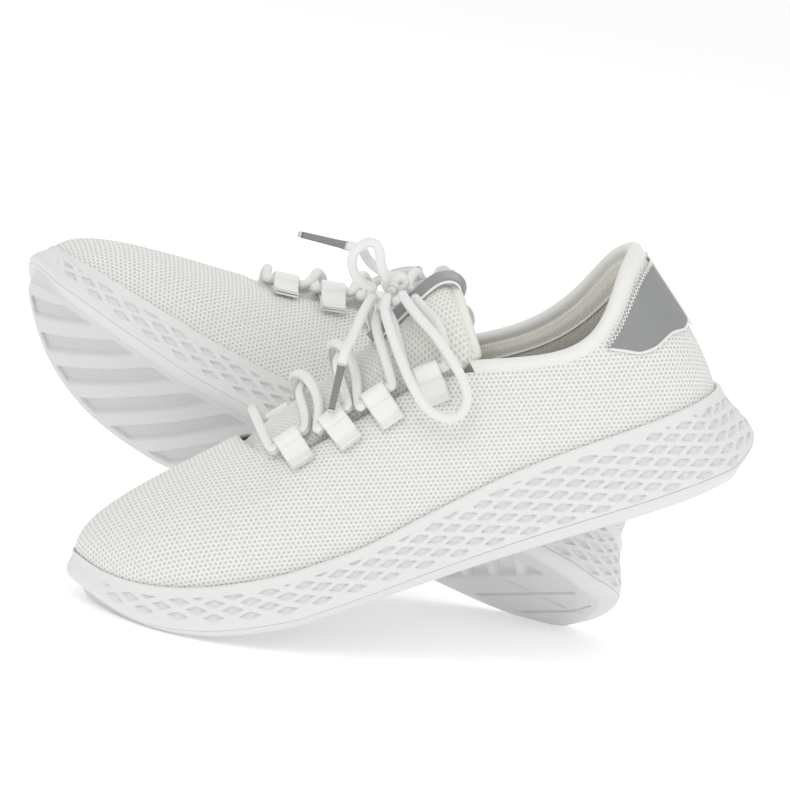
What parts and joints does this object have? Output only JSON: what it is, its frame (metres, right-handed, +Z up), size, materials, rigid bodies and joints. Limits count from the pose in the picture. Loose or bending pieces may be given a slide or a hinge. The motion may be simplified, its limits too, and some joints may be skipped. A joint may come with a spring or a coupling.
{
  "type": "pair of cheer shoes",
  "caption": "Pair of white knitted lace-up cheer sneakers with lattice foam soles, grey heel patches and tied bows, one shoe leaning on the other.",
  "frame": {"origin": "on the ground, at the middle of the pair's box, measured without the bows and free lace ends", "axes": "+Z up, +X from the toes to the heels, +Y from the left shoe to the right shoe"},
  "size_m": [0.2986, 0.2072, 0.1744],
  "materials": {
    "outsole_rubber": "matte moulded rubber",
    "midsole_foam": "moulded foam, soft sheen",
    "insole_board": "stitched board",
    "sockliner_foam": "mesh-covered foam",
    "knit": "knitted mesh",
    "lining_mesh": "brushed mesh",
    "stiffener": "matte sheet",
    "binding": "stretch binding",
    "heel_patch": "grained grey panel, satin",
    "tongue_knit": "padded knit",
    "strap": "satin grey strap with white edges",
    "lace": "braided round lace",
    "webbing": "woven webbing",
    "aglet": "grey film sleeve"
  },
  "bodies": {
    "right_shoe": {"right_outsole": "outsole_rubber", "right_midsole": "midsole_foam", "right_insole_board": "insole_board", "right_upper": "knit", "right_lining": "lining_mesh", "right_heel_counter": "stiffener", "right_toe_puff": "stiffener", "right_collar_binding": "binding", "right_heel_patch": "heel_patch", "right_lacing_a": "lace", "right_lacing_b": "lace", "right_knot": "lace", "right_lace_loop_lateral_1": "webbing", "right_lace_loop_lateral_2": "webbing", "right_lace_loop_lateral_3": "webbing", "right_lace_loop_lateral_4": "webbing", "right_lace_loop_medial_1": "webbing", "right_lace_loop_medial_2": "webbing", "right_lace_loop_medial_3": "webbing", "right_lace_loop_medial_4": "webbing", "right_bow_loop_a": "lace", "right_bow_loop_b": "lace", "right_lace_end_a": "lace", "right_lace_end_b": "lace", "right_aglet_a": "aglet", "right_aglet_b": "aglet"},
    "right_tongue_body": {"right_tongue": "tongue_knit", "right_tongue_strap": "strap"},
    "right_sockliner_body": {"right_sockliner": "sockliner_foam"},
    "left_shoe": {"left_outsole": "outsole_rubber", "left_midsole": "midsole_foam", "left_insole_board": "insole_board", "left_upper": "knit", "left_lining": "lining_mesh", "left_heel_counter": "stiffener", "left_toe_puff": "stiffener", "left_collar_binding": "binding", "left_heel_patch": "heel_patch", "left_lacing_a": "lace", "left_lacing_b": "lace", "left_knot": "lace", "left_lace_loop_lateral_1": "webbing", "left_lace_loop_lateral_2": "webbing", "left_lace_loop_lateral_3": "webbing", "left_lace_loop_lateral_4": "webbing", "left_lace_loop_medial_1": "webbing", "left_lace_loop_medial_2": "webbing", "left_lace_loop_medial_3": "webbing", "left_lace_loop_medial_4": "webbing", "left_bow_loop_a": "lace", "left_bow_loop_b": "lace", "left_lace_end_a": "lace", "left_lace_end_b": "lace", "left_aglet_a": "aglet", "left_aglet_b": "aglet"},
    "left_tongue_body": {"left_tongue": "tongue_knit", "left_tongue_strap": "strap"},
    "left_sockliner_body": {"left_sockliner": "sockliner_foam"}
  },
  "joints": [
    {"name": "left_shoe_lift_off", "type": "slide", "parent": "right_shoe", "child": "left_shoe", "axis": [0, -0.9848, 0.1736], "range_m": [0, 0.15]},
    {"name": "left_tongue_press", "type": "hinge", "parent": "left_shoe", "child": "left_tongue_body", "pos_m": [-0.0455, -0.048, 0.0624], "axis": [-0.0854, 0.9963, 0], "range_deg": [0, 8], "stiffness_Nm_per_rad": 1.2},
    {"name": "left_sockliner_lift", "type": "hinge", "parent": "left_shoe", "child": "left_sockliner_body", "pos_m": [-0.0992, -0.0476, 0.0209], "axis": [0.0854, -0.9963, 0], "range_deg": [0, 3]},
    {"name": "right_tongue_press", "type": "hinge", "parent": "right_shoe", "child": "right_tongue_body", "pos_m": [-0.064, 0.0624, 0.1072], "axis": [-0.0717, 0.8422, -0.5344], "range_deg": [0, 8], "stiffness_Nm_per_rad": 1.2},
    {"name": "right_sockliner_lift", "type": "hinge", "parent": "right_shoe", "child": "right_sockliner_body", "pos_m": [-0.131, 0.0561, 0.1156], "axis": [0.0717, -0.8422, 0.5344], "range_deg": [0, 3]}
  ]
}
